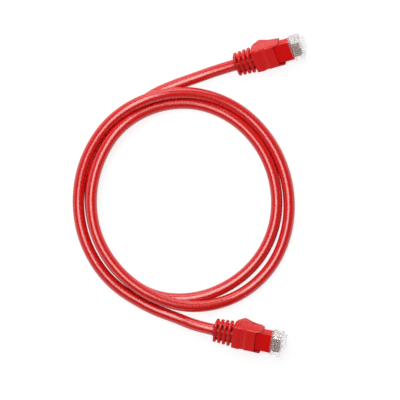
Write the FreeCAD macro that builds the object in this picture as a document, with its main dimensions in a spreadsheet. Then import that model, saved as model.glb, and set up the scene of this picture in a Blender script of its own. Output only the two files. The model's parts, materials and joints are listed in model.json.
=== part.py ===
"""Ethernet patch cable: two 8-position modular plugs on a short, loosely coiled round cable.

World frame, millimetres: +Z up from the table, +X the way both plugs point, +Y from plug B to plug A.
Each plug is modelled in a frame of its own and then placed:
    x  along the plug, 0 where the cable enters the boot, positive towards the nose
    y  across the plug, positive towards contact 1
    z  through the plug, positive towards the contacts, negative towards the latch
"""
import FreeCAD, Part
import math
import os
import re

import Sketcher

# ---------------------------------------------------------------- driving dimensions
SIZES = {
    # cable
    "cable_diameter": 5.4,
    "jacket_bore": 4.3,
    "pair_diameter": 1.72,
    "pair_offset": 1.25,
    "wire_diameter": 0.86,
    "conductor_diameter": 0.48,
    # plug body
    "plug_rear": 15.9,
    "plug_front": 35.4,
    "nose_front": 36.7,
    "plug_width": 11.68,
    "plug_height": 6.6,
    "plug_corner": 0.4,
    "cavity_width": 10.0,
    "cavity_height": 5.6,
    "nose_rear": 34.1,
    "nose_width": 6.8,
    "nose_top": -1.0,
    "nose_bottom": -5.1,
    "channel_width": 9.0,
    "channel_top": 0.9,
    "channel_bottom": -1.0,
    "channel_front": 34.8,
    # contacts
    "contact_pitch": 1.02,
    "contact_middle": 3.5,
    "contact_thickness": 0.32,
    "contact_slot": 0.36,
    "slot_margin": 0.1,
    "contact_rear": 31.0,
    "contact_front": 34.3,
    "contact_top": 2.9,
    "contact_nose": 0.8,
    "tine_rear": 31.7,
    "tine_front": 33.3,
    "tine_tip": 0.24,
    # load bar
    "bar_front": 34.7,
    "bar_width": 8.9,
    "bar_top": 0.85,
    "bar_bottom": -0.95,
    "bar_bore": 0.9,
    "wire_end": 34.5,
    "fan_rear": 26.0,
    "fan_front": 29.8,
    "fan_stagger": 0.3,
    # cable clamp
    "clamp_rear": 22.6,
    "clamp_front": 25.2,
    "clamp_width": 6.0,
    "jacket_end": 25.4,
    # latch lever
    "latch_hinge_x": 33.4,
    "latch_hinge_z": -4.4,
    "latch_knuckle": 1.4,
    "latch_groove": 1.8,
    "latch_thickness": 0.9,
    "latch_tail_x": 20.5,
    "latch_tail_z": -7.6,
    "latch_shoulder_x": 27.4,
    "latch_root_width": 6.0,
    "latch_tail_width": 3.2,
    # boot
    "boot_body_rear": 10.05,
    "boot_collar_end": 13.4,
    "boot_recess_end": 17.2,
    "boot_front": 22.3,
    "chin_front": 25.0,
    "chin_top": 3.0,
    "fill_front": 30.3,
    "collar_width": 12.2,
    "collar_height": 7.9,
    "recess_width": 11.95,
    "recess_height": 7.6,
    "sleeve_width": 12.2,
    "sleeve_height": 7.9,
    "boot_corner": 0.9,
    "gallery_rear_width": 4.6,
    "gallery_rear_height": 4.4,
    "gallery_front_width": 8.9,
    "gallery_front_height": 1.2,
    "lip_end": 0.75,
    "lip_diameter": 7.0,
    "rib_pitch": 2.4,
    "rib_thickness": 1.4,
    "rib_width": 11.1,
    "rib_height": 7.9,
    "rib_growth": 0.3,
    "rib_corner": 2.2,
    "rib_flattening": 0.7,
    "web_wide": 9.8,
    "web_low": 2.8,
    "web_narrow": 4.6,
    "web_tall": 7.0,
    # boot tongue
    "tongue_hinge_x": 12.0,
    "tongue_hinge_z": -4.7,
    "tongue_knuckle": 2.0,
    "tongue_groove": 2.5,
    "tongue_width": 10.2,
    "tongue_gap": 0.3,
    "tongue_waist_x": 14.9,
    "tongue_neck_x": 18.2,
    "tongue_neck_width": 7.5,
    "tongue_tip_x": 23.2,
    "tongue_tip_width": 6.2,
    "tongue_corner": 0.9,
}

# The eight wires in contact order, with the pair that each belongs to.
WIRES = [
    ("white_orange", "orange", 1),
    ("orange", "orange", -1),
    ("white_green", "green", 1),
    ("blue", "blue", 1),
    ("white_blue", "blue", -1),
    ("green", "green", -1),
    ("white_brown", "brown", 1),
    ("brown", "brown", -1),
]
# The last contact's place across the plug; the first is as far to the other side.
LAST_CONTACT = "-contact_pitch * contact_middle"
# Where each pair sits in the jacket, as a direction across the plug's frame (y, z).
PAIR_SIDES = {"orange": (1, 0), "blue": (0, 1), "brown": (-1, 0), "green": (0, -1)}
WIRE_BENDS = 0.2

# The plugs, as placed: the point where the cable enters, then turn, lift of the nose and roll.
PLUGS = {
    "a": {"at": (-12.12, 64.91, 7.36), "turn": 15.8, "lift": 14.0, "roll": 27.0},
    "b": {"at": (-22.87, -67.19, 8.48), "turn": -11.6, "lift": 10.0, "roll": 27.0},
}

# The cable's route. It leaves plug A, dips to the table and goes round about two and a half
# times, then leaves for plug B. The coil is given as its radius and the height of its centre
# line at even steps of angle, counted anticlockwise from +X; the tails are plain points.
COIL_CENTRE = (-37.62, -2.34)
COIL_START = 108.0
COIL_STEP = 24.0
LOW = 2.71
COIL = [
    # first pass, on the table: in from plug A, down the left and across to the inside
    (54.0, LOW), (50.8, LOW), (48.5, LOW), (47.1, LOW), (47.2, LOW), (48.5, LOW), (49.9, LOW),
    # up the right, inside
    (49.3, LOW), (47.7, LOW), (46.85, LOW), (46.35, LOW), (46.0, LOW), (46.45, LOW), (47.4, LOW),
    (48.35, 3.0),
    # second pass, lying on the first down the left, then crossing to the outside
    (48.4, 5.0), (48.1, 8.4), (46.85, 8.2), (46.6, 8.2), (47.05, 8.2), (48.15, 8.2), (50.6, 8.4),
    (53.5, 6.8), (54.7, LOW), (54.35, LOW), (52.85, LOW), (51.95, LOW), (51.95, LOW), (52.95, 2.8),
    # third pass, over the cable from plug A and down the left, outside
    (53.7, 5.6), (53.8, 9.0), (53.8, 8.0), (53.25, 5.4), (53.0, 2.9), (53.5, LOW), (54.5, LOW),
    (56.2, LOW),
]
TAIL_A = [(-30.97, 58.81, 3.8), (-43.62, 54.76, LOW)]
TAIL_B = [(-41.57, -60.59, 3.6)]
STRAIGHT_EXIT = 9.0
ARC_SHARE = 0.45

doc = FreeCAD.newDocument("patch_cable")
sheet = doc.addObject("Spreadsheet::Sheet", "sizes")
finished = []


def fill_sheet():
    """Write every driving dimension into the sheet, one named cell each."""
    for row, (name, number) in enumerate(SIZES.items(), start=1):
        sheet.set(f"A{row}", name)
        sheet.set(f"B{row}", str(number))
        sheet.setAlias(f"B{row}", name)
    doc.recompute()


def size(name):
    """One driving dimension as a number."""
    return float(sheet.get(name))


def bound(text):
    """An expression in the sheet's names, such as "plug_width / 2", bound to its cells."""
    return re.sub(r"[a-z][a-z_]*", lambda word: "sizes." + word.group(0), str(text))


# ---------------------------------------------------------------- sketches and features
def new_body(label):
    """An empty solid body, named as its file will be."""
    body = doc.addObject("PartDesign::Body", label)
    body.Label = label
    return body


def new_sketch(body, role, offset="0"):
    """A sketch on one of the body's own origin planes, moved along that plane's normal."""
    plane = next(item for item in body.Origin.OriginFeatures if item.Role == role)
    sketch = body.newObject("Sketcher::SketchObject", "sketch")
    sketch.AttachmentSupport = [(plane, "")]
    sketch.MapMode = "FlatFace"
    sketch.setExpression("AttachmentOffset.Base.z", bound(offset))
    return sketch


def pin_point(sketch, geometry, point, position):
    """Hold one point of a sketch at a position given by two expressions."""
    for kind, text in zip(("DistanceX", "DistanceY"), position):
        constraint = sketch.addConstraint(Sketcher.Constraint(kind, -1, 1, geometry, point, 1.0))
        sketch.setExpression(f"Constraints[{constraint}]", bound(text))


def draw_outline(sketch, corners):
    """A closed outline of straight sides, every corner bound to the sheet."""
    count = len(corners)
    first = sketch.GeometryCount
    for index in range(count):
        ends = []
        for step in (index, index + 1):
            angle = 2 * math.pi * step / count
            ends.append(FreeCAD.Vector(math.cos(angle), math.sin(angle), 0))
        sketch.addGeometry(Part.LineSegment(*ends))
    for index in range(count):
        following = first + (index + 1) % count
        sketch.addConstraint(Sketcher.Constraint("Coincident", first + index, 2, following, 1))
        pin_point(sketch, first + index, 1, corners[index])


def draw_circle(sketch, centre, diameter):
    """A circle whose centre and diameter are bound to the sheet."""
    index = sketch.addGeometry(Part.Circle(FreeCAD.Vector(0, 0, 0), FreeCAD.Vector(0, 0, 1), 1.0))
    constraint = sketch.addConstraint(Sketcher.Constraint("Diameter", index, 2.0))
    sketch.setExpression(f"Constraints[{constraint}]", bound(diameter))
    pin_point(sketch, index, 3, centre)


def draw_rounded(sketch, width, height, corner):
    """A rectangle about the axis with round corners, bound to the sheet."""
    reach = 2.0
    straight = 1.5
    quarter = math.pi / 2
    for index in range(4):
        turned = FreeCAD.Rotation(FreeCAD.Vector(0, 0, 1), 90 * index)
        start = turned.multVec(FreeCAD.Vector(reach, -straight, 0))
        end = turned.multVec(FreeCAD.Vector(reach, straight, 0))
        sketch.addGeometry(Part.LineSegment(start, end))
    for index in range(4):
        centre = FreeCAD.Rotation(FreeCAD.Vector(0, 0, 1), 90 * index).multVec(
            FreeCAD.Vector(straight, straight, 0))
        circle = Part.Circle(centre, FreeCAD.Vector(0, 0, 1), reach - straight)
        sketch.addGeometry(Part.ArcOfCircle(circle, quarter * index, quarter * (index + 1)))
    for index in range(4):
        arc = 4 + index
        sketch.addConstraint(Sketcher.Constraint("Tangent", index, 2, arc, 1))
        sketch.addConstraint(Sketcher.Constraint("Tangent", arc, 2, (index + 1) % 4, 1))
        if index:
            sketch.addConstraint(Sketcher.Constraint("Equal", 4, arc))
        sketch.addConstraint(Sketcher.Constraint("Horizontal" if index % 2 else "Vertical", index))
    radius = sketch.addConstraint(Sketcher.Constraint("Radius", 4, reach - straight))
    sketch.setExpression(f"Constraints[{radius}]", bound(corner))
    for index, (kind, text) in enumerate((
            ("DistanceX", f"({width}) / 2"), ("DistanceY", f"({height}) / 2"),
            ("DistanceX", f"-({width}) / 2"), ("DistanceY", f"-({height}) / 2"))):
        side = reach if index < 2 else -reach
        constraint = sketch.addConstraint(Sketcher.Constraint(kind, -1, 1, index, 1, side))
        sketch.setExpression(f"Constraints[{constraint}]", bound(text))


def rectangle(low_u, high_u, low_v, high_v):
    """The four corners of a rectangle."""
    return [(low_u, low_v), (high_u, low_v), (high_u, high_v), (low_u, high_v)]


def centred(width, height):
    """The four corners of a rectangle about the axis."""
    return rectangle(f"-({width}) / 2", f"({width}) / 2", f"-({height}) / 2", f"({height}) / 2")


def feature(body, kind, sketch, length, symmetric=False):
    """A pad or pocket of a sketch: along the sketch's normal, or evenly to both sides."""
    item = body.newObject("PartDesign::" + kind, kind.lower())
    item.Profile = sketch
    item.setExpression("Length", bound(length))
    if symmetric:
        item.SideType = "Symmetric"
    elif kind == "Pocket":
        item.Reversed = True
    body.Tip = item
    return item


def add_along(body, corners, start, end, kind="Pad"):
    """A prism along the plug, from one station to another; a section is (y, z)."""
    sketch = new_sketch(body, "YZ_Plane", start)
    draw_outline(sketch, corners)
    return feature(body, kind, sketch, f"({end}) - ({start})")


def cut_along(body, corners, start, end):
    """Remove a prism along the plug."""
    return add_along(body, corners, start, end, "Pocket")


def add_rounded(body, width, height, corner, start, end):
    """A prism along the plug whose section is a rectangle with round corners."""
    sketch = new_sketch(body, "YZ_Plane", start)
    draw_rounded(sketch, width, height, corner)
    return feature(body, "Pad", sketch, f"({end}) - ({start})")


def add_round(body, centre, diameter, start, end, kind="Pad"):
    """A cylinder along the plug; its centre is (y, z)."""
    sketch = new_sketch(body, "YZ_Plane", start)
    draw_circle(sketch, centre, diameter)
    return feature(body, kind, sketch, f"({end}) - ({start})")


def cut_round(body, centre, diameter, start, end):
    """Remove a cylinder along the plug."""
    return add_round(body, centre, diameter, start, end, "Pocket")


def add_across(body, corners, width, kind="Pad"):
    """A prism across the plug, the same to both sides; a side profile is (x, z)."""
    sketch = new_sketch(body, "XZ_Plane")
    draw_outline(sketch, corners)
    return feature(body, kind, sketch, width, symmetric=True)


def add_pin_across(body, centre, diameter, width, kind="Pad"):
    """A cylinder across the plug; its centre is (x, z)."""
    sketch = new_sketch(body, "XZ_Plane")
    draw_circle(sketch, centre, diameter)
    return feature(body, kind, sketch, width, symmetric=True)


def repeat_across(body, item):
    """Repeat a feature once for each of the eight contacts, towards +y."""
    pattern = body.newObject("PartDesign::LinearPattern", "pattern")
    pattern.Originals = [item]
    axis = next(part for part in body.Origin.OriginFeatures if part.Role == "Y_Axis")
    pattern.Direction = (axis, [""])
    pattern.Occurrences = len(WIRES)
    pattern.setExpression("Length", bound(f"contact_pitch * {len(WIRES) - 1}"))
    body.Tip = pattern


def round_edges(body, radius, chosen):
    """Fillet the edges of the body's last feature that the test accepts."""
    doc.recompute()
    base = body.Tip
    names = [f"Edge{number}" for number, edge in enumerate(base.Shape.Edges, start=1) if chosen(edge)]
    fillet = body.newObject("PartDesign::Fillet", "fillet")
    fillet.Base = (base, names)
    fillet.setExpression("Radius", bound(radius))
    body.Tip = fillet


def runs_along(edge, axis):
    """Whether an edge is a straight line along an axis, 0 for x, 1 for y, 2 for z."""
    if edge.Curve.TypeId != "Part::GeomLine":
        return False
    return abs(abs(edge.Curve.Direction[axis]) - 1) < 1e-6


def place(item, placement):
    """Move a finished sub-part to its place and list it for writing."""
    item.Placement = placement
    finished.append(item)


# ---------------------------------------------------------------- the pieces of a plug
def plug_body(tag, placement):
    """The clear moulding: a shell round the cable, with a wire channel and eight slots."""
    body = new_body(f"plug_body_{tag}")
    add_rounded(body, "plug_width", "plug_height", "plug_corner", "plug_rear", "plug_front")
    nose = rectangle("-nose_width / 2", "nose_width / 2", "nose_bottom", "nose_top")
    add_along(body, nose, "nose_rear", "nose_front")
    cut_along(body, centred("cavity_width", "cavity_height"), "plug_rear", "fill_front")
    channel = rectangle("-channel_width / 2", "channel_width / 2", "channel_bottom", "channel_top")
    cut_along(body, channel, "fill_front", "channel_front")
    window = rectangle("-clamp_width / 2", "clamp_width / 2", "-plug_height / 2", "0")
    cut_along(body, window, "clamp_rear", "clamp_front")
    hinge = ("latch_hinge_x", "latch_hinge_z")
    add_pin_across(body, hinge, "latch_groove", "nose_width", "Pocket")
    slot = rectangle(f"{LAST_CONTACT} - contact_slot / 2", f"{LAST_CONTACT} + contact_slot / 2",
                     "channel_top - slot_margin", "plug_height / 2")
    cut = cut_along(body, slot, "contact_rear - slot_margin", "plug_front")
    repeat_across(body, cut)
    place(body, placement)


def latch_lever(tag, placement):
    """The locking lever: a strip that stands off the body, with shoulders and a narrow tail."""
    body = new_body(f"latch_lever_{tag}")
    upper = "latch_thickness / 2"
    add_across(body, [
        ("latch_hinge_x", f"latch_hinge_z + {upper}"),
        ("latch_tail_x", f"latch_tail_z + {upper}"),
        ("latch_tail_x", f"latch_tail_z - {upper}"),
        ("latch_hinge_x", f"latch_hinge_z - {upper}"),
    ], "latch_root_width")
    hinge = ("latch_hinge_x", "latch_hinge_z")
    add_pin_across(body, hinge, "latch_knuckle", "latch_root_width")
    for side in (1, -1):
        margin = rectangle(f"{side} * latch_tail_width / 2", f"{side} * latch_root_width",
                           "latch_tail_z - 1", "latch_hinge_z + 1")
        cut_along(body, margin, "latch_tail_x - 1", "latch_shoulder_x")
    place(body, placement)


def contacts(tag, placement):
    """Eight gold-plated blades, each with a tine that bites into its wire."""
    body = new_body(f"contacts_{tag}")
    sketch = new_sketch(body, "XZ_Plane", "contact_pitch * contact_middle")
    draw_outline(sketch, [
        ("contact_rear", "contact_top"),
        ("contact_rear", "channel_top"),
        ("tine_rear", "channel_top"),
        ("tine_rear", "tine_tip"),
        ("tine_front", "tine_tip"),
        ("tine_front", "channel_top"),
        ("contact_front", "channel_top"),
        ("contact_front", "contact_top - contact_nose"),
        ("contact_front - contact_nose * 0.3", "contact_top - contact_nose * 0.3"),
        ("contact_front - contact_nose", "contact_top"),
    ])
    blade = feature(body, "Pad", sketch, "contact_thickness", symmetric=True)
    repeat_across(body, blade)
    place(body, placement)


def load_bar(tag, placement):
    """The wire guide: a bar with a bore for each wire and a slot above each for its blade."""
    body = new_body(f"load_bar_{tag}")
    section = rectangle("-bar_width / 2", "bar_width / 2", "bar_bottom", "bar_top")
    add_along(body, section, "fill_front", "bar_front")
    bore = cut_round(body, (LAST_CONTACT, "0"), "bar_bore", "fill_front", "bar_front")
    repeat_across(body, bore)
    slot = rectangle(f"{LAST_CONTACT} - contact_slot / 2", f"{LAST_CONTACT} + contact_slot / 2",
                     "0", "bar_top")
    cut = cut_along(body, slot, "contact_rear - slot_margin", "contact_front + slot_margin")
    repeat_across(body, cut)
    place(body, placement)


def cable_clamp(tag, placement):
    """The bar that is pressed through the body's window on to the jacket."""
    body = new_body(f"cable_clamp_{tag}")
    section = rectangle("-clamp_width / 2", "clamp_width / 2", "-plug_height / 2", "-cable_diameter / 2")
    add_along(body, section, "clamp_rear", "clamp_front")
    place(body, placement)


def boot(tag, placement):
    """The overmoulded boot: ribbed strain relief, grip and the fill inside the plug body."""
    body = new_body(f"boot_{tag}")
    add_round(body, ("0", "0"), "lip_diameter", "0", "boot_body_rear")
    for number in range(4):
        start = f"lip_end + rib_pitch * {number}"
        end = f"{start} + rib_thickness"
        width = f"rib_width + rib_growth * {number}"
        height = f"rib_height + rib_growth * {number} * rib_flattening"
        add_rounded(body, width, height, "rib_corner", start, end)
        for web in (centred("web_wide", "web_low"), centred("web_narrow", "web_tall")):
            add_along(body, web, end, f"lip_end + rib_pitch * {number + 1}")
    for name, start, end in (
            ("collar", "boot_body_rear", "boot_collar_end"),
            ("recess", "boot_collar_end", "boot_recess_end"),
            ("sleeve", "boot_recess_end", "chin_front")):
        add_rounded(body, f"{name}_width", f"{name}_height", "boot_corner", start, end)
    above_chin = rectangle("-sleeve_width", "sleeve_width", "chin_top", "sleeve_height")
    cut_along(body, above_chin, "boot_front", "chin_front")
    cut_along(body, centred("plug_width", "plug_height"), "plug_rear", "chin_front")
    add_along(body, centred("cavity_width", "cavity_height"), "plug_rear", "fill_front")
    cut_round(body, ("0", "0"), "cable_diameter", "0", "jacket_end")
    gallery = body.newObject("PartDesign::SubtractiveLoft", "gallery")
    rear = new_sketch(body, "YZ_Plane", "jacket_end")
    draw_outline(rear, centred("gallery_rear_width", "gallery_rear_height"))
    front = new_sketch(body, "YZ_Plane", "fill_front")
    draw_outline(front, centred("gallery_front_width", "gallery_front_height"))
    gallery.Profile = rear
    gallery.Sections = [front]
    body.Tip = gallery
    seat = rectangle("-clamp_width / 2", "clamp_width / 2", "-plug_height / 2", "-cable_diameter / 2")
    cut_along(body, seat, "clamp_rear", "clamp_front")
    hinge = ("tongue_hinge_x", "tongue_hinge_z")
    add_pin_across(body, hinge, "tongue_groove", "tongue_width + tongue_gap * 2", "Pocket")
    place(body, placement)


def boot_tongue(tag, placement):
    """The humped tongue that covers the latch's tail and presses on it."""
    body = new_body(f"boot_tongue_{tag}")
    add_across(body, [
        ("tongue_hinge_x - 0.9", "tongue_hinge_z - 0.4"),
        ("tongue_hinge_x + 0.9", "tongue_hinge_z + 0.1"),
        ("tongue_hinge_x + 2.4", "tongue_hinge_z - 3.2"),
        ("tongue_hinge_x + 4.0", "tongue_hinge_z - 3.7"),
        ("tongue_hinge_x + 8.4", "tongue_hinge_z - 3.8"),
        ("tongue_tip_x", "tongue_hinge_z - 4.25"),
        ("tongue_tip_x", "tongue_hinge_z - 5.15"),
        ("tongue_hinge_x + 8.4", "tongue_hinge_z - 5.0"),
        ("tongue_hinge_x + 3.4", "tongue_hinge_z - 5.1"),
        ("tongue_hinge_x + 1.9", "tongue_hinge_z - 5.2"),
        ("tongue_hinge_x + 1.1", "tongue_hinge_z - 4.2"),
    ], "tongue_width")
    round_edges(body, "tongue_corner",
                lambda edge: runs_along(edge, 1) and edge.BoundBox.Center.z < size("tongue_hinge_z") - 5.18)
    hinge = ("tongue_hinge_x", "tongue_hinge_z")
    add_pin_across(body, hinge, "tongue_knuckle", "tongue_width")
    for side in (1, -1):
        sketch = new_sketch(body, "XY_Plane", "tongue_hinge_z")
        draw_outline(sketch, [
            ("tongue_waist_x", f"{side} * tongue_width / 2"),
            ("tongue_neck_x", f"{side} * tongue_neck_width / 2"),
            ("tongue_tip_x", f"{side} * tongue_tip_width / 2"),
            ("tongue_tip_x + 1", f"{side} * tongue_tip_width / 2"),
            ("tongue_tip_x + 1", f"{side} * tongue_width"),
            ("tongue_waist_x", f"{side} * tongue_width"),
        ])
        feature(body, "Pocket", sketch, "tongue_width * 2", symmetric=True)
    place(body, placement)


def jacket_end(tag, placement):
    """The end of the jacket inside the boot and the plug body, up to the clamp."""
    body = new_body(f"jacket_end_{tag}")
    add_round(body, ("0", "0"), "cable_diameter", "0", "jacket_end")
    cut_round(body, ("0", "0"), "jacket_bore", "0", "jacket_end")
    place(body, placement)


# ---------------------------------------------------------------- wires and cable
def rounded_path(points, share):
    """Straight runs joined by tangent arcs that each take up a share of the shorter run."""
    edges = []
    radii = []
    start = points[0]
    for before, corner, after in zip(points, points[1:], points[2:]):
        back = (before - corner).normalize()
        ahead = (after - corner).normalize()
        turn = math.pi - back.getAngle(ahead)
        reach = share * min((before - corner).Length, (after - corner).Length)
        radius = reach / math.tan(turn / 2)
        arc_start = corner + back * reach
        arc_end = corner + ahead * reach
        inwards = (back + ahead).normalize()
        middle = corner + inwards * (radius / math.cos(turn / 2) - radius)
        edges.append(Part.LineSegment(start, arc_start).toShape())
        edges.append(Part.Arc(arc_start, middle, arc_end).toShape())
        radii.append(radius)
        start = arc_end
    edges.append(Part.LineSegment(start, points[-1]).toShape())
    return Part.Wire(edges), radii


def path_object(name, points, share):
    """The path as a document object that sweeps can follow, with its arcs' radii."""
    wire, radii = rounded_path(points, share)
    item = doc.addObject("Part::Feature", name)
    item.Shape = wire
    return item, radii


def sweep_round(name, path, centre, direction, diameter):
    """A round bar of a bound diameter, swept along a path from a point near its start."""
    circle = doc.addObject("Part::Circle", name + "_section")
    circle.setExpression("Radius", bound(f"{diameter} / 2"))
    circle.Placement = FreeCAD.Placement(centre, FreeCAD.Rotation(FreeCAD.Vector(0, 0, 1), direction))
    sweep = doc.addObject("Part::Sweep", name)
    sweep.Sections = [circle]
    sweep.Spine = (path, [f"Edge{number + 1}" for number in range(len(path.Shape.Edges))])
    sweep.Solid = True
    sweep.Frenet = False
    return sweep


def cut_from(name, base, tool):
    """One shape less another."""
    item = doc.addObject("Part::Cut", name)
    item.Base = base
    item.Tool = tool
    return item


def wires(tag, placement):
    """Eight insulated wires from the jacket's pairs to the contacts, and their conductors."""
    pitch = size("contact_pitch")
    middle = size("contact_middle")
    along = FreeCAD.Vector(1, 0, 0)
    conductors = []
    for number, (colour, pair, side) in enumerate(WIRES):
        across = (middle - number) * pitch
        pair_y, pair_z = PAIR_SIDES[pair]
        start = FreeCAD.Vector(0, pair_y * size("pair_offset"), pair_z * size("pair_offset"))
        start.y += side * size("wire_diameter") / 2
        inner = middle - abs(middle - number)
        fan_start = size("fan_rear") + size("fan_stagger") * inner
        points = [
            start,
            FreeCAD.Vector(fan_start, start.y, start.z),
            FreeCAD.Vector(size("fan_front"), across, 0),
            FreeCAD.Vector(size("wire_end"), across, 0),
        ]
        name = f"wire_{colour}_{tag}"
        path, _ = path_object(name + "_path", points, WIRE_BENDS)
        insulation = sweep_round(name + "_insulation", path, start, along, "wire_diameter")
        conductor = sweep_round(name + "_conductor", path, start, along, "conductor_diameter")
        conductors.append(conductor)
        hollow = cut_from(name + "_hollow", insulation, conductor)
        notch = doc.addObject("Part::Box", name + "_notch")
        notch.setExpression("Length", bound("tine_front - tine_rear"))
        notch.setExpression("Width", bound("contact_thickness"))
        notch.setExpression("Height", bound("wire_diameter"))
        notch.setExpression("Placement.Base.x", bound("tine_rear"))
        notch.setExpression("Placement.Base.y",
                            bound(f"contact_pitch * (contact_middle - {number}) - contact_thickness / 2"))
        notch.setExpression("Placement.Base.z", bound("tine_tip"))
        wire = cut_from(name, hollow, notch)
        wire.Label = name
        place(wire, placement)
    group = doc.addObject("Part::Compound", f"conductors_{tag}")
    group.Links = conductors
    place(group, placement)


def plug_placement(plug):
    """Where a plug lies: turned about Z, nose lifted, rolled about its own axis."""
    turned = FreeCAD.Rotation(plug["turn"], -plug["lift"], plug["roll"])
    return FreeCAD.Placement(FreeCAD.Vector(*plug["at"]), turned)


def coil_points():
    """The coil's corner points, set out so that the rounded path runs at the stated radii."""
    spread = math.cos(math.radians(COIL_STEP / 2))
    points = []
    for index, (radius, height) in enumerate(COIL):
        angle = math.radians(COIL_START + COIL_STEP * index)
        points.append(FreeCAD.Vector(COIL_CENTRE[0] + radius / spread * math.cos(angle),
                                     COIL_CENTRE[1] + radius / spread * math.sin(angle),
                                     height))
    return points


def cable(placements):
    """The jacket and the four twisted pairs in it, from one boot to the other."""
    forwards = FreeCAD.Vector(STRAIGHT_EXIT, 0, 0)
    exits = [placements[tag].Base for tag in ("a", "b")]
    behind = [placements[tag].multVec(-forwards) for tag in ("a", "b")]
    points = [exits[0], behind[0]]
    points += [FreeCAD.Vector(*point) for point in TAIL_A]
    points += coil_points()
    points += [FreeCAD.Vector(*point) for point in TAIL_B]
    points += [behind[1], exits[1]]
    path, radii = path_object("cable_path", points, ARC_SHARE)
    print("cable length %.1f mm" % path.Shape.Length)
    print("bend radii, mm:", " ".join("%.0f" % radius for radius in radii))
    direction = (points[1] - points[0]).normalize()
    outside = sweep_round("jacket_outside", path, points[0], direction, "cable_diameter")
    bore = sweep_round("jacket_inside", path, points[0], direction, "jacket_bore")
    jacket = cut_from("cable_jacket", outside, bore)
    finished.append(jacket)
    turned = placements["a"].Rotation
    for pair, (pair_y, pair_z) in PAIR_SIDES.items():
        offset = turned.multVec(FreeCAD.Vector(0, pair_y, pair_z)) * size("pair_offset")
        finished.append(sweep_round(f"pair_{pair}", path, points[0] + offset, direction, "pair_diameter"))
    return path, outside


def check_and_write(path, outside):
    """Stop on any failed object, then write each sub-part to its own file."""
    doc.recompute()
    for item in doc.Objects:
        if "Invalid" in item.State or "Error" in item.State:
            raise RuntimeError(f"{item.Name} failed: {item.State}")
    expected = math.pi * size("cable_diameter") ** 2 / 4 * path.Shape.Length
    print("cable volume / section x length: %.4f" % (outside.Shape.Volume / expected))
    os.makedirs("parts", exist_ok=True)
    for item in finished:
        if item.Shape.isNull() or not item.Shape.isValid():
            raise RuntimeError(f"{item.Label} has no valid shape")
        item.Shape.exportStep(f"parts/{item.Label}.step")
    print(len(finished), "sub-parts written")


fill_sheet()
placements = {tag: plug_placement(plug) for tag, plug in PLUGS.items()}
for tag, placement in placements.items():
    for make in (plug_body, latch_lever, contacts, load_bar, cable_clamp, boot, boot_tongue,
                 jacket_end, wires):
        make(tag, placement)
check_and_write(*cable(placements))
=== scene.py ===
"""Looks of the red ethernet patch cable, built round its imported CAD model.

Everything is in metres in the row frame, the CAD model's own, apart from the pieces of a plug. These are
made in millimetres in the plug's own frame and then placed:
    x  along the plug, 0 where the cable enters the boot, positive towards the nose
    y  across the plug, positive towards contact 1
    z  through the plug, positive towards the contacts, negative towards the latch
"""
import json
import math

import bmesh
import bpy
from mathutils import Matrix, Vector


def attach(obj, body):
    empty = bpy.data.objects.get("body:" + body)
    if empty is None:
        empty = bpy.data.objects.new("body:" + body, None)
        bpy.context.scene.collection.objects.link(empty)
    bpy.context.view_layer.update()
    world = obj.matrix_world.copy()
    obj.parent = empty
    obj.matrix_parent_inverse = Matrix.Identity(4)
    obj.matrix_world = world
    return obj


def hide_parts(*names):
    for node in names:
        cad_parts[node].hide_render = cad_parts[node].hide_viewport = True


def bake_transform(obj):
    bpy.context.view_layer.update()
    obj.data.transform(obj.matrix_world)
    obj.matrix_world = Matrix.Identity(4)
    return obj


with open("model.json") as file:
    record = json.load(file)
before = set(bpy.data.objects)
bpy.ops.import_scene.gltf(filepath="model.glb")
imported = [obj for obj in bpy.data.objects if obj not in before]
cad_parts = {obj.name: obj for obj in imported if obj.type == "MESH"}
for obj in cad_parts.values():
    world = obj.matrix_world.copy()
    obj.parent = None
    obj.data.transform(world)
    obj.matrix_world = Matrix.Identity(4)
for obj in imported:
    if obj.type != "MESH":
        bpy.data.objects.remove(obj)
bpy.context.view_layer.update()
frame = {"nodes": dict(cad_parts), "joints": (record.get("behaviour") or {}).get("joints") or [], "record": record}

MM = 0.001
record = frame["record"]
nodes = frame["nodes"]

# ---------------------------------------------------------------- the cable's route, in metres
# It keeps within about a millimetre of the CAD model's tube.
CABLE_DIAMETER = 0.0058
LOW = 0.00291  # the height of the cable's middle line where it lies on the table
COIL_CENTRE = (-0.03762, -0.00234)
COIL_START = 108.0  # degrees
COIL_STEP = 24.0  # degrees
# radius and height at each step round the coil
COIL = [
    # first pass, on the table: in from plug A, down the left and across to the inside
    (0.0534, LOW), (0.0506, LOW), (0.0480, LOW), (0.0467, LOW), (0.0471, LOW), (0.0486, LOW),
    (0.0504, LOW),
    # up the right, inside
    (0.0494, LOW), (0.04805, LOW), (0.04745, LOW), (0.0467, LOW), (0.0460, LOW), (0.0463, LOW),
    (0.04725, LOW), (0.04825, 0.0031),
    # second pass, lying on the first down the left, then crossing to the outside
    (0.0482, 0.0050), (0.04785, 0.0087), (0.04625, 0.0086), (0.04615, 0.0086), (0.0470, 0.0086),
    (0.04815, 0.0086), (0.0506, 0.0087), (0.0538, 0.0068), (0.0552, LOW), (0.0549, LOW),
    (0.0531, LOW), (0.05185, LOW), (0.05175, LOW), (0.05265, 0.0030),
    # third pass, over the cable from plug A and down the left, outside
    (0.0534, 0.0056), (0.0534, 0.0092), (0.0535, 0.0082), (0.0528, 0.0055), (0.0527, 0.0030),
    (0.0535, LOW), (0.0548, LOW), (0.0556, LOW),
]
# points between the coil and the straight run behind each plug
TAIL_A = [(-0.03097, 0.05881, 0.0038), (-0.04355, 0.05445, LOW)]
TAIL_B = [(-0.0415, -0.0613, 0.0036)]
CURVE_STEPS = 14
SECTION_STEPS = 8

# ---------------------------------------------------------------- sizes of a plug, in millimetres
STRAIGHT_EXIT = 9.0  # how far the cable runs straight behind the boot
HAIR = 0.04  # left between two surfaces that touch

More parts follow.
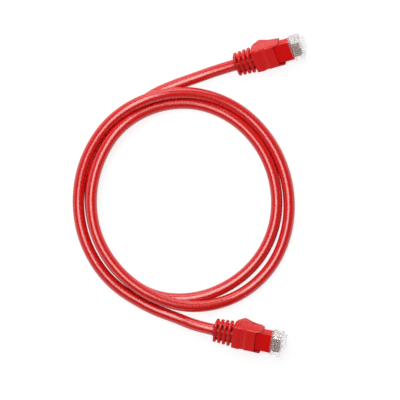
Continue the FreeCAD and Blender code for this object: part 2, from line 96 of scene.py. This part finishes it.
PLUG_FRONT = 35.4
PLUG_REAR = 15.9
PLUG_WIDTH = 11.68
PLUG_HEIGHT = 6.6
PLUG_CORNER = 0.45
CAVITY = (10.0, 5.6)
FILL_FRONT = 30.3
CONTACTS = 8
CONTACT_PITCH = 1.02

# the boot's lip and ribs: each rib is larger than the last by RIB_GROWTH in width and height
BORE = 5.9
BORE_END = 9.0
CORE = 6.4
LIP_END = 0.75
RIB_COUNT = 4
RIB_PITCH = 2.4
RIB_THICKNESS = 1.4
RIB_SIZE = (11.1, 7.9)
RIB_GROWTH = (0.3, 0.21)
RIB_CORNER = 2.3
RIB_ROUNDING = 0.4
RIB_EDGE = 4.3  # from the cable's middle line to where the gaps' shade ends
WEB_SIZES = ((9.8, 2.8), (4.4, 7.1))
WEB_CORNER = 0.8
WEB_OVERLAP = 0.3

BOOT_FRONT = 22.0
BODY_START = (10.2, 10.5)  # the gaps' shade fades out between these
# outside of the gripping body, from its rear edge over the collar and the recess:
# along, width, height, corner
GRIP_SECTIONS = [
    (10.35, 11.2, 6.9, 0.6), (10.40, 11.7, 7.4, 0.75), (10.55, 12.05, 7.8, 0.85), (10.8, 12.2, 7.95, 0.9),
    (14.3, 12.4, 8.1, 0.9), (14.45, 12.35, 8.05, 0.9), (14.6, 12.1, 7.8, 0.85), (14.75, 11.9, 7.45, 0.8),
    (16.7, 11.9, 7.45, 0.8), (17.05, 12.1, 7.75, 0.85), (17.3, 12.25, 7.98, 0.9), (17.9, 12.25, 7.98, 0.9),
    (18.2, 12.15, 7.85, 0.9), (19.5, 12.15, 7.85, 0.9),
]
# its front edge, where the cheeks reach forward: along, width, height, corner, share of their reach
CHEEK_SECTIONS = [
    (20.8, 12.2, 7.95, 0.9, 0.6),
    (BOOT_FRONT - 0.15, 12.2, 7.95, 0.85, 0.8),
    (BOOT_FRONT, 12.0, 7.7, 0.75, 1.0),
]
CHEEK_REACH = 3.0
CHEEK_TURN = 60  # degrees from the contact side's middle line to where they have their full reach

# the thumb tongue: outer face along and down, inner face along and down, width
TONGUE_SECTIONS = [
    ((10.7, -3.9), (12.4, -3.9), 12.1), ((10.95, -4.7), (12.9, -4.6), 12.0),
    ((11.5, -5.9), (13.3, -4.8), 11.6), ((12.3, -7.6), (13.8, -4.95), 11.0),
    ((13.0, -9.1), (14.3, -5.05), 10.5), ((13.45, -9.75), (14.7, -5.15), 10.2),
    ((14.1, -9.9), (15.1, -5.3), 10.1), ((14.8, -9.85), (15.6, -5.6), 9.8),
    ((16.1, -9.8), (16.4, -6.4), 8.9), ((17.2, -9.75), (17.3, -7.5), 8.2),
    ((18.6, -9.7), (18.6, -8.4), 7.5), ((20.4, -9.7), (20.4, -8.55), 7.0),
    ((22.2, -9.8), (22.2, -8.8), 6.6), ((22.9, -9.8), (22.9, -9.0), 6.4),
    ((23.2, -9.65), (23.2, -9.2), 6.1),
]
TONGUE_CORNER = 0.42

# the latch: where it starts; two points its slope runs through, each along the plug and below its middle;
# and its sections from neck to tail, each along the lever, half width and half thickness
LATCH_START = (33.7, 0, -4.75)
LATCH_AT_NECK = (33.4, 4.4)
LATCH_AT_TAIL = (20.5, 7.6)
LATCH_SECTIONS = [
    (-0.5, 3.0, 0.30), (0.4, 3.0, 0.28), (1.6, 3.0, 0.42), (5.8, 3.0, 0.45), (6.3, 2.9, 0.45),
    (6.4, 1.75, 0.45), (7.0, 1.6, 0.45), (12.0, 1.6, 0.42), (13.0, 1.6, 0.36), (13.4, 1.45, 0.24),
]
LATCH_CORNER = 0.16

# ---------------------------------------------------------------- steps of the meshes
CORNER_STEPS = 8
EDGE_STEPS = 4
SMALLEST_CORNER = 0.02
WELD = 1e-4

# ---------------------------------------------------------------- colours and looks
BOOT_RED = (0.62, 0.006, 0.005)
WIRE_COLOURS = {
    "orange": (0.78, 0.20, 0.02),
    "green": (0.02, 0.26, 0.06),
    "blue": (0.02, 0.08, 0.42),
    "brown": (0.16, 0.06, 0.025),
}
WIRE_WHITE = (0.80, 0.79, 0.75)
WIRE_SHADE = 0.8
STRIPE_PITCH = 0.0022
STRIPE_START = 0.72  # share of the pitch that stays white
# the clear shell comes into sight over these stretches, in millimetres
NOSE_ALPHA = 0.55
NOSE_RAMP = (-0.6, 0.2)  # from the fill's front
WALL_ALPHA = 0.14
WALL_RAMP = (0.1, 0.3)  # from the cavity's side

# ---------------------------------------------------------------- the view, in metres
LENS = 400
SENSOR_WIDTH = 36
VIEW_CENTRE = (-0.02962, -0.00252)
VIEW_HEIGHT = 0.003  # the level at which the view is VIEW_WIDTH across
VIEW_WIDTH = 0.200
FLOOR_REACH = 3.0


def plug_frame(tag):
    """The matrix from a plug's own frame, in millimetres, to the row frame."""
    mount = next(item for item in record["mounts"] if item["name"] == f"plug_{tag}_front")
    hinge = next(item for item in frame["joints"] if item["name"] == f"latch_{tag}_press")
    along = Vector(mount["axis"]).normalized()
    across = Vector(hinge["axis"]).normalized()
    turned = Matrix((along, across, along.cross(across))).transposed().to_4x4()
    placed = Matrix.Translation(mount["pos_m"]) @ turned
    return placed @ Matrix.Scale(MM, 4) @ Matrix.Translation((-PLUG_FRONT, 0, 0))


PLUGS = {tag: plug_frame(tag) for tag in ("a", "b")}


def add_object(name, data):
    """A new object in the scene."""
    item = bpy.data.objects.new(name, data)
    bpy.context.scene.collection.objects.link(item)
    return item


# ---------------------------------------------------------------- shader nodes
def new_material(name, colour, roughness, **settings):
    """A Principled material. Settings are the shader's own sockets, by name with _ for a space."""
    material = bpy.data.materials.new(name)
    material.use_nodes = True
    shader = material.node_tree.nodes["Principled BSDF"]
    shader.inputs["Base Color"].default_value = (*colour, 1)
    shader.inputs["Roughness"].default_value = roughness
    for socket, value in settings.items():
        shader.inputs[socket.replace("_", " ")].default_value = value
    return material


def add_node(owner, kind, inputs=None, **properties):
    """A node of a material or world, its properties and inputs set. An input may be another's socket."""
    node = owner.node_tree.nodes.new(kind)
    for name, value in properties.items():
        setattr(node, name, value)
    for key, value in (inputs or {}).items():
        if isinstance(value, bpy.types.NodeSocket):
            owner.node_tree.links.new(value, node.inputs[key])
        else:
            node.inputs[key].default_value = value
    return node


def place_noise(material, scale, detail=3.0):
    """Noise fixed to the object, its scale in cells per metre."""
    place = add_node(material, "ShaderNodeTexCoord")
    return add_node(material, "ShaderNodeTexNoise",
                    {"Vector": place.outputs["Object"], "Scale": scale, "Detail": detail}).outputs["Fac"]


def plug_distance(material, tag, direction):
    """A point's place along one of a plug's own axes, from its cable entry, in metres."""
    place = add_node(material, "ShaderNodeTexCoord")
    axis = PLUGS[tag].to_3x3().col["xyz".index(direction)].normalized()
    entry = PLUGS[tag] @ Vector((0, 0, 0))
    from_entry = add_node(material, "ShaderNodeVectorMath", {0: place.outputs["Object"], 1: tuple(entry)},
                          operation="SUBTRACT")
    return add_node(material, "ShaderNodeVectorMath", {0: from_entry.outputs["Vector"], 1: tuple(axis)},
                    operation="DOT_PRODUCT").outputs["Value"]


def painted_rib_gap_shade(material, tag):
    """How far the shade painted between the ribs is lifted: from 0 at the bottom of the gaps between the ribs, in
    full painted shade, to 1 at the ribs' edges, and 1 on the body.
    """
    across, through = (plug_distance(material, tag, direction) for direction in "yz")
    section = add_node(material, "ShaderNodeCombineXYZ", {"X": across, "Y": through})
    radius = add_node(material, "ShaderNodeVectorMath", {0: section.outputs["Vector"]}, operation="LENGTH")
    near = add_node(material, "ShaderNodeMapRange",
                    {"Value": radius.outputs["Value"], "From Min": CORE / 2 * MM, "From Max": RIB_EDGE * MM})
    along = plug_distance(material, tag, "x")
    body = add_node(material, "ShaderNodeMapRange",
                    {"Value": along, "From Min": BODY_START[0] * MM, "From Max": BODY_START[1] * MM})
    return add_node(material, "ShaderNodeMath", {0: near.outputs["Result"], 1: body.outputs["Result"]},
                    operation="MAXIMUM").outputs[0]


def vary(material, socket, factor, low, high):
    """Drive one of the shader's sockets from low to high by a 0 to 1 factor."""
    shader = material.node_tree.nodes["Principled BSDF"]
    if isinstance(low, tuple):
        mix = add_node(material, "ShaderNodeMix", data_type="RGBA")
        colours = [item for item in mix.inputs if item.type == "RGBA"]
        colours[0].default_value = (*low, 1)
        colours[1].default_value = (*high, 1)
        material.node_tree.links.new(factor, mix.inputs["Factor"])
        result = next(item for item in mix.outputs if item.type == "RGBA")
    else:
        spread = add_node(material, "ShaderNodeMapRange", {"Value": factor, "To Min": low, "To Max": high})
        result = spread.outputs["Result"]
    material.node_tree.links.new(result, shader.inputs[socket])


def add_bump(material, height, distance, strength=1.0):
    """Fine relief from a height factor, its full depth in metres."""
    bump = add_node(material, "ShaderNodeBump",
                    {"Height": height, "Distance": distance, "Strength": strength})
    shader = material.node_tree.nodes["Principled BSDF"]
    material.node_tree.links.new(bump.outputs["Normal"], shader.inputs["Normal"])


# ---------------------------------------------------------------- materials
def jacket_material():
    """Extruded PVC: soft gloss, faintly uneven, with fine mottling."""
    material = new_material("jacket_pvc", (0.60, 0.006, 0.005), 0.26, Specular_IOR_Level=0.9)
    vary(material, "Base Color", place_noise(material, 420, 4), (0.56, 0.004, 0.003), (0.64, 0.008, 0.006))
    vary(material, "Roughness", place_noise(material, 500, 3), 0.24, 0.30)
    add_bump(material, place_noise(material, 600, 3), 0.00001, 0.3)
    return material


def boot_material(tag):
    """Moulded PVC: a little duller than the jacket, grained by its mould, with shade painted into its colour
    between the ribs.
    """
    material = new_material(f"boot_pvc_{tag}", BOOT_RED, 0.36, Specular_IOR_Level=0.45)
    # painted shade: the base colour darkens from BOOT_RED to a deep red towards the bottom of the gaps between the
    # ribs
    vary(material, "Base Color", painted_rib_gap_shade(material, tag), (0.24, 0.003, 0.003), BOOT_RED)
    vary(material, "Roughness", place_noise(material, 1600, 2), 0.32, 0.44)
    add_bump(material, place_noise(material, 6000, 2), 0.00002, 0.5)
    return material


def fill_material():
    """The boot's plastic where the plug body is bonded over it, so that it has no gloss of its own."""
    material = new_material("fill_pvc", BOOT_RED, 0.4, Specular_IOR_Level=0.05)
    vary(material, "Base Color", place_noise(material, 500, 3), (0.59, 0.005, 0.005), (0.66, 0.008, 0.007))
    vary(material, "Roughness", place_noise(material, 1600, 2), 0.36, 0.48)
    return material


def clear_material(name, **settings):
    """Clear polycarbonate, polished, with a trace of haze and flow marks."""
    material = new_material(name, (0.97, 0.975, 0.98), 0.06, IOR=1.5, **settings)
    vary(material, "Roughness", place_noise(material, 700, 2), 0.02, 0.10)
    add_bump(material, place_noise(material, 350, 2), 0.00003, 0.4)
    return material


def shell_material(tag):
    """The plug body's plastic: glassy at the nose and sides, and not seen where the fill is bonded to it."""
    material = clear_material(f"clear_shell_{tag}", Transmission_Weight=0.8)
    along = plug_distance(material, tag, "x")
    nose = add_node(material, "ShaderNodeMapRange",
                    {"Value": along, "To Min": 0.0, "To Max": NOSE_ALPHA,
                     "From Min": (FILL_FRONT + NOSE_RAMP[0]) * MM,
                     "From Max": (FILL_FRONT + NOSE_RAMP[1]) * MM})
    across = plug_distance(material, tag, "y")
    off_middle = add_node(material, "ShaderNodeMath", {0: across}, operation="ABSOLUTE")
    wall = add_node(material, "ShaderNodeMapRange",
                    {"Value": off_middle.outputs[0], "To Min": 0.0, "To Max": WALL_ALPHA,
                     "From Min": (CAVITY[0] / 2 + WALL_RAMP[0]) * MM,
                     "From Max": (CAVITY[0] / 2 + WALL_RAMP[1]) * MM})
    share = add_node(material, "ShaderNodeMath", {0: nose.outputs["Result"], 1: wall.outputs["Result"]},
                     operation="MAXIMUM")
    shader = material.node_tree.nodes["Principled BSDF"]
    material.node_tree.links.new(share.outputs[0], shader.inputs["Alpha"])
    return material


def gold_material():
    """Thin gold plating over nickel, with slight wear."""
    material = new_material("contact_gold", (0.92, 0.70, 0.60), 0.34, Metallic=0.5)
    vary(material, "Base Color", place_noise(material, 1800, 3), (0.95, 0.73, 0.60), (0.88, 0.68, 0.60))
    vary(material, "Roughness", place_noise(material, 2500, 3), 0.28, 0.42)
    return material


def copper_material():
    """Bare copper, slightly dulled."""
    material = new_material("copper", (0.80, 0.38, 0.22), 0.3, Metallic=1.0)
    vary(material, "Base Color", place_noise(material, 2000, 3), (0.84, 0.42, 0.25), (0.66, 0.29, 0.17))
    return material


def wire_material(name, tag):
    """Insulation of one colour, or white with bands of the pair's colour along the plug's axis."""
    pair = name.removeprefix("white_")
    material = new_material(f"wire_{name}_{tag}", WIRE_COLOURS[pair], 0.38)
    if name.startswith("white_"):
        phase = add_node(material, "ShaderNodeMath", {0: plug_distance(material, tag, "x"), 1: STRIPE_PITCH},
                         operation="PINGPONG")
        band = add_node(material, "ShaderNodeMath", {0: phase.outputs[0], 1: STRIPE_PITCH * STRIPE_START},
                        operation="GREATER_THAN")
        vary(material, "Base Color", band.outputs[0], WIRE_WHITE, WIRE_COLOURS[pair])
    else:
        darker = tuple(part * WIRE_SHADE for part in WIRE_COLOURS[pair])
        vary(material, "Base Color", place_noise(material, 900, 2), WIRE_COLOURS[pair], darker)
    add_bump(material, place_noise(material, 2400, 2), 0.00002, 0.4)
    return material


def finish_with(item, material):
    """Give a piece or CAD node one material throughout."""
    item.data.materials.clear()
    item.data.materials.append(material)


# ---------------------------------------------------------------- mesh building in a plug's frame
def ring(x, half_width, half_height, corner, centre=0.0):
    """One round-cornered section across the plug."""
    corner = max(corner, SMALLEST_CORNER)
    points = []
    for quarter, (side, top) in enumerate(((1, 1), (-1, 1), (-1, -1), (1, -1))):
        for step in range(CORNER_STEPS + 1):
            angle = math.radians(90 * (quarter + step / CORNER_STEPS))
            points.append(Vector((
                x,
                side * (half_width - corner) + corner * math.cos(angle),
                centre + top * (half_height - corner) + corner * math.sin(angle))))
    return points


def block(start, end, width, height, corner, rounding=0.0, centre=0.0):
    """The rings of one block along the plug, its end edges rounded over."""
    profile = [(0.0, 0.0)]
    if rounding:
        angles = [math.radians(90 * step / EDGE_STEPS) for step in range(EDGE_STEPS + 1)]
        profile = [(rounding * (1 - math.cos(angle)), rounding * (math.sin(angle) - 1)) for angle in angles]
    stations = [(start + along, grow) for along, grow in profile]
    stations += [(end - along, grow) for along, grow in reversed(profile)]
    return [ring(x, width / 2 + grow, height / 2 + grow, corner + grow, centre) for x, grow in stations]


def skin(name, rings):
    """A closed mesh through rings of equal count, with both ends capped."""
    shape = bmesh.new()
    loops = [[shape.verts.new(point) for point in points] for points in rings]
    count = len(loops[0])
    for first, second in zip(loops, loops[1:]):
        for index in range(count):
            following = (index + 1) % count
            shape.faces.new((first[index], first[following], second[following], second[index]))
    shape.faces.new(loops[0])
    shape.faces.new(loops[-1])
    bmesh.ops.remove_doubles(shape, verts=shape.verts, dist=WELD)
    bmesh.ops.dissolve_degenerate(shape, edges=shape.edges, dist=WELD)
    bmesh.ops.recalc_face_normals(shape, faces=shape.faces)
    mesh = bpy.data.meshes.new(name)
    shape.to_mesh(mesh)
    shape.free()
    return mesh


def evaluated_mesh(item):
    """The mesh that an object's modifiers make."""
    evaluated = item.evaluated_get(bpy.context.evaluated_depsgraph_get())
    return bpy.data.meshes.new_from_object(evaluated)


def combine(mesh, others, operation):
    """The mesh with others added or cut away, one after the other."""
    base = add_object("base", mesh)
    tools = []
    for other in others:
        tool = add_object("tool", other)
        modifier = base.modifiers.new("combine", "BOOLEAN")
        modifier.operation = operation
        modifier.solver = "EXACT"
        modifier.object = tool
        tools.append(tool)
    result = evaluated_mesh(base)
    for item in (base, *tools):
        bpy.data.objects.remove(item)
    return result


def smoothed(mesh, levels):
    """The mesh after Catmull-Clark subdivision."""
    item = add_object("smooth", mesh)
    modifier = item.modifiers.new("subdivide", "SUBSURF")
    modifier.levels = levels
    result = evaluated_mesh(item)
    bpy.data.objects.remove(item)
    result.shade_smooth()
    return result


def shaded(mesh, sharp=32):
    """Smooth shading, with edges sharper than the angle kept crisp."""
    mesh.shade_smooth()
    mesh.set_sharp_from_angle(angle=math.radians(sharp))
    return mesh


def put(name, mesh, tag, material, body, replaced):
    """Place a copy of a plug's piece as an object of its own, riding on a body."""
    copy = mesh.copy()
    copy.transform(PLUGS[tag])
    piece = add_object(f"{name}_{tag}", copy)
    finish_with(piece, material)
    if body:
        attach(piece, body)
    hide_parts(replaced)
    return piece


# ---------------------------------------------------------------- the plug's pieces
def swept_forward(points, reach):
    """A front edge of the boot with its sides and underside carried further along the plug."""
    moved = []
    for index, point in enumerate(points):
        quarter = index // (CORNER_STEPS + 1)
        turn = 90 * (quarter + (index % (CORNER_STEPS + 1)) / CORNER_STEPS)
        from_top = abs(turn - 90) if turn < 270 else abs(turn - 450)
        share = min(from_top / CHEEK_TURN, 1)
        eased = share * share * (3 - 2 * share)
        moved.append(point + Vector((reach * eased, 0, 0)))
    return moved


def boot_mesh():
    """Lip, ribs with crossed webs between them, and the body that grips the plug."""
    # the lip, which runs straight into the first rib
    rings = block(0.0, LIP_END + 0.2, CORE, CORE, CORE / 2, rounding=0.3)[:-1]
    webs = []
    for number in range(RIB_COUNT):
        start = LIP_END + RIB_PITCH * number
        end = start + RIB_THICKNESS
        following = LIP_END + RIB_PITCH * (number + 1)
        width, height = (size + growth * number for size, growth in zip(RIB_SIZE, RIB_GROWTH))
        rings += block(start, end, width, height, RIB_CORNER, RIB_ROUNDING)
        rings += [ring(x, CORE / 2, CORE / 2, CORE / 2) for x in (end, following)]
        for size in WEB_SIZES:
            webs.append(skin("web", block(end - WEB_OVERLAP, following + WEB_OVERLAP, *size, WEB_CORNER)))
    for x, width, height, corner in GRIP_SECTIONS:
        rings.append(ring(x, width / 2, height / 2, corner))
    for x, width, height, corner, share in CHEEK_SECTIONS:
        rings.append(swept_forward(ring(x, width / 2, height / 2, corner), CHEEK_REACH * share))
    # back inside, along the plug body, to the plug's rear
    inner = ((PLUG_WIDTH + 2 * HAIR) / 2, (PLUG_HEIGHT + 2 * HAIR) / 2, PLUG_CORNER)
    rings.append(swept_forward(ring(BOOT_FRONT, *inner), CHEEK_REACH))
    rings.append(ring(PLUG_REAR - HAIR, *inner))
    ribbed = combine(skin("boot", rings), webs, "UNION")
    bore = skin("bore", block(-1.0, BORE_END, BORE, BORE, BORE / 2))
    return shaded(combine(ribbed, [bore], "DIFFERENCE"))


def fill_mesh():
    """The boot's plug of plastic inside the plug body, hollowed in front for the wires."""
    front = FILL_FRONT - HAIR
    rings = block(PLUG_REAR - 0.4, front, CAVITY[0] - 2 * HAIR, CAVITY[1] - 2 * HAIR,
                  corner=0.3, rounding=0.15)
    rings += [ring(front, half_width=4.45, half_height=0.6, corner=0.3),
              ring(25.4, half_width=2.3, half_height=2.2, corner=0.5)]
    return shaded(skin("fill", rings))


def tongue_mesh():
    """The humped tongue that grows out of the collar and covers the latch's tail."""
    rings = []
    for outer, inner, width in TONGUE_SECTIONS:
        outer = Vector((outer[0], 0, outer[1]))
        inner = Vector((inner[0], 0, inner[1]))
        down = outer - inner
        tilt = math.atan2(down.x, down.z) + math.pi
        turn = Matrix.Translation((outer + inner) / 2) @ Matrix.Rotation(tilt, 4, "Y")
        rings.append([turn @ point for point in ring(0, width / 2, down.length / 2, TONGUE_CORNER)])
    return smoothed(skin("tongue", rings), 1)


def plug_mesh():
    """The clear moulding, with its cavity, wire channel, clamp window, nose and contact slots."""
    base = skin("plug", block(PLUG_REAR, PLUG_FRONT, PLUG_WIDTH, PLUG_HEIGHT, PLUG_CORNER, rounding=0.2))
    nose = skin("nose", block(32.6, 36.7, width=6.8, height=4.1, corner=0.45, rounding=0.3, centre=-3.05))
    base = combine(base, [nose], "UNION")
    cutters = [
        skin("cavity", block(10.0, FILL_FRONT, *CAVITY, corner=0.3, rounding=0.2)),
        skin("channel", block(29.6, 34.8, width=9.0, height=1.9, corner=0.3, rounding=0.15, centre=-0.05)),
        skin("window", block(22.6, 25.2, width=6.0, height=4.0, corner=0.3, centre=-2.4)),
    ]
    for number in range(CONTACTS):
        slot = skin("slot", block(30.85, 37.0, width=0.46, height=4.0, corner=0.1, centre=2.9))
        slot.transform(Matrix.Translation((0, (number - (CONTACTS - 1) / 2) * CONTACT_PITCH, 0)))
        cutters.append(slot)
    return shaded(combine(base, cutters, "DIFFERENCE"), sharp=25)


def latch_mesh():
    """The locking lever: neck, wide front part with shoulders, and a narrow tail."""
    slope = math.atan2(LATCH_AT_TAIL[1] - LATCH_AT_NECK[1], LATCH_AT_NECK[0] - LATCH_AT_TAIL[0])
    turn = Matrix.Translation(LATCH_START) @ Matrix.Rotation(math.pi - slope, 4, "Y")
    rings = []
    for along, half_width, half_thickness in LATCH_SECTIONS:
        rings.append([turn @ point for point in ring(along, half_width, half_thickness, LATCH_CORNER)])
    return shaded(skin("latch", rings))


# ---------------------------------------------------------------- the cable
def coil_points():
    """The coil's control points, each set out from the line so that the curve between them has the radius."""
    spread = math.cos(math.radians(COIL_STEP / 2))
    points = []
    for index, (radius, height) in enumerate(COIL):
        angle = math.radians(COIL_START + COIL_STEP * index)
        points.append(Vector((COIL_CENTRE[0] + radius / spread * math.cos(angle),
                              COIL_CENTRE[1] + radius / spread * math.sin(angle),
                              height)))
    return points


def cable():
    """The whole free cable as one smooth line with a round section, and where it leaves plug A."""
    exits = [PLUGS[tag] @ Vector((0, 0, 0)) for tag in ("a", "b")]
    behind = [PLUGS[tag] @ Vector((-STRAIGHT_EXIT, 0, 0)) for tag in ("a", "b")]
    points = [exits[0], behind[0], *map(Vector, TAIL_A), *coil_points(), *map(Vector, TAIL_B),
              behind[1], exits[1]]
    curve = bpy.data.curves.new("cable", "CURVE")
    curve.dimensions = "3D"
    spline = curve.splines.new("NURBS")
    spline.points.add(len(points) - 1)
    for control, point in zip(spline.points, points):
        control.co = (*point, 1)
    spline.order_u = 3
    spline.use_endpoint_u = True
    spline.resolution_u = CURVE_STEPS
    curve.bevel_depth = CABLE_DIAMETER / 2
    curve.bevel_resolution = SECTION_STEPS
    return add_object("cable", curve), exits[0]


# ---------------------------------------------------------------- camera, light and floor
def camera():
    """Looks straight down on the cable's plane with a long lens."""
    data = bpy.data.cameras.new("camera")
    data.lens = LENS
    data.sensor_width = SENSOR_WIDTH
    item = add_object("camera", data)
    item.location = (*VIEW_CENTRE, VIEW_HEIGHT + VIEW_WIDTH * LENS / SENSOR_WIDTH)
    bpy.context.scene.camera = item


def softbox(name, place, target, size, power):
    """A rectangular area light aimed at a point, its first side along the row frame's x."""
    data = bpy.data.lights.new(name, "AREA")
    data.shape = "RECTANGLE"
    data.size, data.size_y = size
    data.energy = power
    back = (Vector(place) - Vector(target)).normalized()
    side = Vector((0, 1, 0)).cross(back).normalized()
    turned = Matrix((side, back.cross(side), back)).transposed().to_4x4()
    add_object(name, data).matrix_world = Matrix.Translation(place) @ turned


def studio():
    """A pale floor that gives a little light, softly lit from the upper left, under a dark ceiling."""
    bpy.context.scene.view_settings.view_transform = "Standard"
    world = bpy.data.worlds.new("studio")
    bpy.context.scene.world = world
    world.use_nodes = True
    background = world.node_tree.nodes["Background"]
    background.inputs["Color"].default_value = (1, 1, 1, 1)
    direction = add_node(world, "ShaderNodeTexCoord")
    height = add_node(world, "ShaderNodeSeparateXYZ", {"Vector": direction.outputs["Generated"]})
    walls = add_node(world, "ShaderNodeMapRange",
                     {"Value": height.outputs["Z"], "From Min": 0.05, "From Max": 0.45,
                      "To Min": 1.0, "To Max": 0.05})
    world.node_tree.links.new(walls.outputs["Result"], background.inputs["Strength"])
    centre = (-0.03, 0, 0)
    softbox("key", place=(-0.21, 0.23, 1.0), target=centre, size=(0.56, 0.93), power=11.0)
    softbox("window", place=(0.0, 0.95, 0.40), target=centre, size=(0.9, 0.35), power=3.0)
    mesh = bpy.data.meshes.new("floor")
    signs = ((-1, -1), (1, -1), (1, 1), (-1, 1))
    corners = [(side * FLOOR_REACH, end * FLOOR_REACH, 0) for side, end in signs]
    mesh.from_pydata(corners, [], [(0, 1, 2, 3)])
    floor = add_object("floor", mesh)
    finish_with(floor, new_material("floor", (0.22, 0.22, 0.22), 0.9, Specular_IOR_Level=0.0,
                                    Emission_Color=(1, 1, 1, 1), Emission_Strength=0.82))


# ---------------------------------------------------------------- build
camera()
studio()
jacket = jacket_material()
clear = clear_material("clear_plastic", Transmission_Weight=0.9, Alpha=0.6)
fill_pvc = fill_material()
gold = gold_material()
copper = copper_material()

line, cable_exit = cable()
finish_with(line, jacket)
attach(line, "root")
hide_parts("cable_jacket", "pair_orange", "pair_blue", "pair_brown", "pair_green")

boot_shape = boot_mesh()
fill_shape = fill_mesh()
tongue_shape = tongue_mesh()
plug_shape = plug_mesh()
latch_shape = latch_mesh()
for tag in PLUGS:
    boot_pvc = boot_material(tag)
    pieces = [
        put("boot_moulding", boot_shape, tag, boot_pvc, "root", f"boot_{tag}"),
        put("boot_fill", fill_shape, tag, fill_pvc, "root", f"boot_{tag}"),
        put("plug_shell", plug_shape, tag, shell_material(tag), "root", f"plug_body_{tag}"),
    ]
    tongue = put("thumb_tongue", tongue_shape, tag, boot_pvc, None, f"boot_tongue_{tag}")
    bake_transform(tongue)
    latch = put("latch", latch_shape, tag, clear, None, f"latch_lever_{tag}")
    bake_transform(latch)
    pieces += [tongue, latch]
    for name, material in ((f"contacts_{tag}", gold), (f"conductors_{tag}", copper),
                           (f"load_bar_{tag}", clear), (f"cable_clamp_{tag}", clear),
                           (f"jacket_end_{tag}", jacket)):
        finish_with(nodes[name], material)
        pieces.append(nodes[name])
    for pair in WIRE_COLOURS:
        for name in (pair, f"white_{pair}"):
            wire = nodes[f"wire_{name}_{tag}"]
            finish_with(wire, wire_material(name, tag))
            pieces.append(wire)
